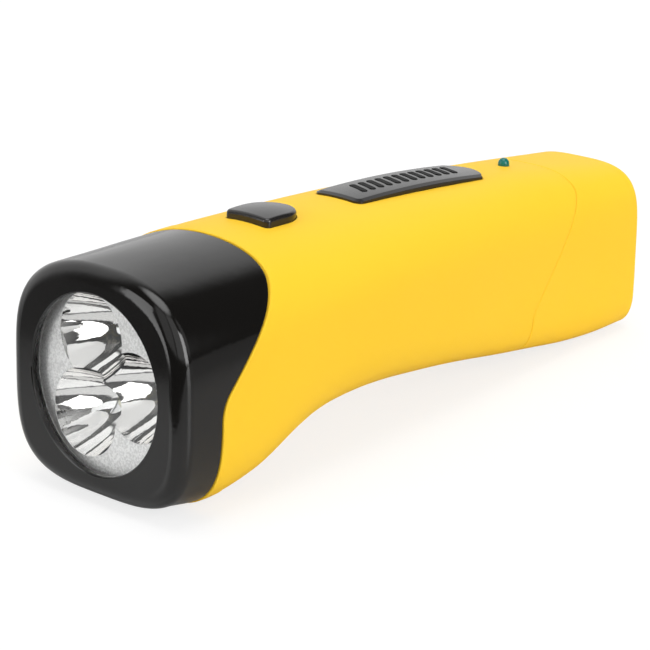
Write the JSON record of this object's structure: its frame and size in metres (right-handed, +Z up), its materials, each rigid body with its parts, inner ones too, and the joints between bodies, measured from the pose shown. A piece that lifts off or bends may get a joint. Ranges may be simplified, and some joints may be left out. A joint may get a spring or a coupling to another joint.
{
  "type": "rechargeable hand torch",
  "caption": "Yellow hand torch with a black front bezel, three LEDs behind a round lens, push switch and mains plug under a pull-off tail cap.",
  "frame": {"origin": "centre of the lens's outer face, 1.4 mm behind the bezel's front face", "axes": "X across the torch, the beam leaves along -Y and the tail points to +Y, Z up with the switch on top"},
  "size_m": [0.06, 0.1784, 0.0614],
  "materials": {
    "black_bezel": "gloss black moulded ABS",
    "yellow_shell": "satin yellow moulded ABS",
    "clear_lens": "clear moulded acrylic",
    "silver_reflector": "vacuum-metallised ABS, frosted between the cups",
    "circuit_board": "green glass-fibre board",
    "steel_screws": "zinc-plated self-tapping screws",
    "white_led_epoxy": "clear epoxy with a yellow phosphor cup",
    "tinned_metal": "tin-plated copper and solder",
    "black_parts": "matt black plastic",
    "black_gloss": "gloss black moulded ABS",
    "white_plastic": "white nylon",
    "spring_steel": "spring wire",
    "green_led_epoxy": "green diffused epoxy",
    "battery_grey": "dark grey ABS battery case",
    "foam": "black foam pad",
    "capacitor_red": "dark red film capacitor",
    "resistor_tan": "tan lacquer",
    "brass": "nickel-free brass",
    "red_wire": "red PVC insulation",
    "black_wire": "black PVC insulation",
    "blue_wire": "blue PVC insulation"
  },
  "bodies": {
    "torch": {"bezel": "black_bezel", "body_shell": "yellow_shell", "lens": "clear_lens", "reflector": "silver_reflector", "led_board": "circuit_board", "led_board_screws": "steel_screws", "white_led_top": "white_led_epoxy", "white_led_left": "white_led_epoxy", "white_led_right": "white_led_epoxy", "led_leads": "tinned_metal", "led_resistors": "black_parts", "switch_body": "black_parts", "switch_pins": "tinned_metal", "button_spring": "spring_steel", "switch_bracket": "black_parts", "switch_screws": "steel_screws", "badge_plate": "black_gloss", "charge_led": "green_led_epoxy", "charge_led_leads": "tinned_metal", "battery_case": "battery_grey", "battery_lid": "battery_grey", "battery_terminals": "tinned_metal", "battery_pad": "foam", "battery_keeper": "black_parts", "keeper_screws": "steel_screws", "charge_board": "circuit_board", "dropper_capacitor": "capacitor_red", "rectifier_diodes": "black_parts", "charge_resistors": "resistor_tan", "plug_block": "black_parts", "plug_blades": "brass", "plug_screws": "steel_screws", "red_wires": "red_wire", "black_wires": "black_wire", "mains_wires": "blue_wire"},
    "button": {"switch_button": "black_gloss", "switch_plunger": "white_plastic"},
    "tail_cap": {"tail_cap": "yellow_shell"}
  },
  "joints": [
    {"name": "switch_press", "type": "slide", "parent": "torch", "child": "button", "axis": [0, 0, -1], "range_m": [0, 0.0016], "stiffness_N_per_m": 900, "springref_m": -0.0012, "deforming": ["button_spring"]},
    {"name": "cap_pull", "type": "slide", "parent": "torch", "child": "tail_cap", "axis": [0, 1, 0], "range_m": [0, 0.045]}
  ]
}
